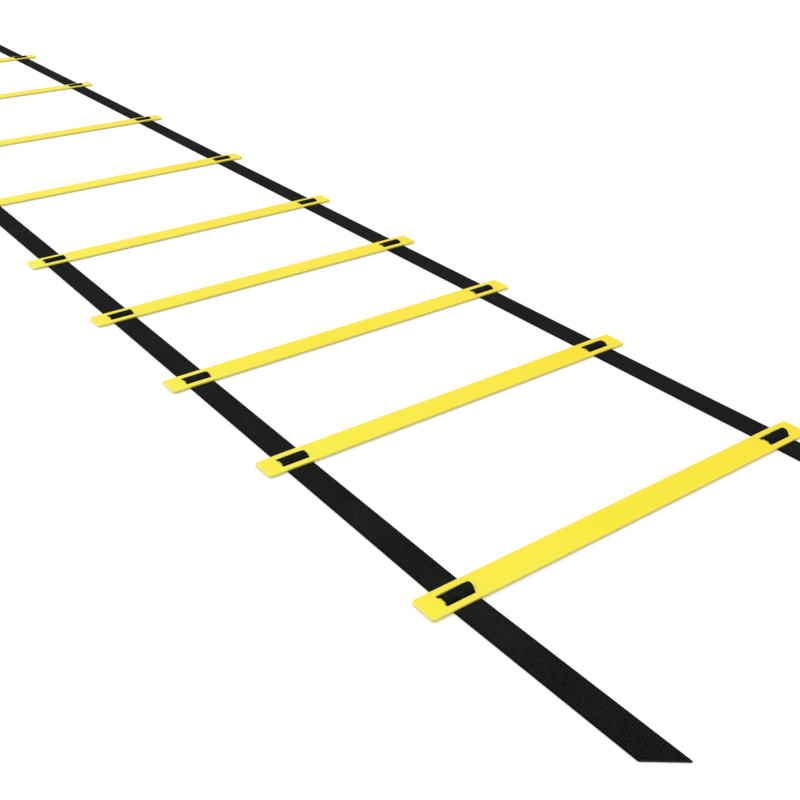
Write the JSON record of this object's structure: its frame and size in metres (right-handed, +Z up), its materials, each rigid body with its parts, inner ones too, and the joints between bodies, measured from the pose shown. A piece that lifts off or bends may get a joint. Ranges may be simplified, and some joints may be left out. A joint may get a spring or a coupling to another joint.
{
  "type": "agility ladder",
  "caption": "Training ladder laid flat: flat plastic rungs with slotted ends, threaded on long webbing side straps that they slide along.",
  "frame": {"origin": "on the ground under the middle of the ladder, halfway between the straps and halfway between the strap ends", "axes": "+X along the rungs to the right strap, +Y along the ladder away from its near end, +Z up"},
  "size_m": [0.43, 3.3028, 0.0063],
  "materials": {
    "webbing": "black woven webbing with fine crosswise ribs, matte",
    "rung_plastic": "lemon yellow moulded plastic, satin"
  },
  "bodies": {
    "straps": {"strap_left": "webbing", "strap_right": "webbing"},
    "rung_01": {"rung_01": "rung_plastic"},
    "rung_02": {"rung_02": "rung_plastic"},
    "rung_03": {"rung_03": "rung_plastic"},
    "rung_04": {"rung_04": "rung_plastic"},
    "rung_05": {"rung_05": "rung_plastic"},
    "rung_06": {"rung_06": "rung_plastic"},
    "rung_07": {"rung_07": "rung_plastic"},
    "rung_08": {"rung_08": "rung_plastic"},
    "rung_09": {"rung_09": "rung_plastic"},
    "rung_10": {"rung_10": "rung_plastic"},
    "rung_11": {"rung_11": "rung_plastic"},
    "rung_12": {"rung_12": "rung_plastic"}
  },
  "joints": [
    {"name": "rung_01_slide", "type": "slide", "parent": "straps", "child": "rung_01", "axis": [0, 1, 0], "range_m": [-0.105, 0.098], "deforming": ["strap_left", "strap_right"]},
    {"name": "rung_02_slide", "type": "slide", "parent": "straps", "child": "rung_02", "axis": [0, 1, 0], "range_m": [-0.098, 0.077], "deforming": ["strap_left", "strap_right"]},
    {"name": "rung_03_slide", "type": "slide", "parent": "straps", "child": "rung_03", "axis": [0, 1, 0], "range_m": [-0.077, 0.077], "deforming": ["strap_left", "strap_right"]},
    {"name": "rung_04_slide", "type": "slide", "parent": "straps", "child": "rung_04", "axis": [0, 1, 0], "range_m": [-0.077, 0.086], "deforming": ["strap_left", "strap_right"]},
    {"name": "rung_05_slide", "type": "slide", "parent": "straps", "child": "rung_05", "axis": [0, 1, 0], "range_m": [-0.086, 0.113], "deforming": ["strap_left", "strap_right"]},
    {"name": "rung_06_slide", "type": "slide", "parent": "straps", "child": "rung_06", "axis": [0, 1, 0], "range_m": [-0.113, 0.132], "deforming": ["strap_left", "strap_right"]},
    {"name": "rung_07_slide", "type": "slide", "parent": "straps", "child": "rung_07", "axis": [0, 1, 0], "range_m": [-0.132, 0.142], "deforming": ["strap_left", "strap_right"]},
    {"name": "rung_08_slide", "type": "slide", "parent": "straps", "child": "rung_08", "axis": [0, 1, 0], "range_m": [-0.142, 0.144], "deforming": ["strap_left", "strap_right"]},
    {"name": "rung_09_slide", "type": "slide", "parent": "straps", "child": "rung_09", "axis": [0, 1, 0], "range_m": [-0.144, 0.141], "deforming": ["strap_left", "strap_right"]},
    {"name": "rung_10_slide", "type": "slide", "parent": "straps", "child": "rung_10", "axis": [0, 1, 0], "range_m": [-0.141, 0.141], "deforming": ["strap_left", "strap_right"]},
    {"name": "rung_11_slide", "type": "slide", "parent": "straps", "child": "rung_11", "axis": [0, 1, 0], "range_m": [-0.141, 0.141], "deforming": ["strap_left", "strap_right"]},
    {"name": "rung_12_slide", "type": "slide", "parent": "straps", "child": "rung_12", "axis": [0, 1, 0], "range_m": [-0.141, 0.105], "deforming": ["strap_left", "strap_right"]}
  ]
}
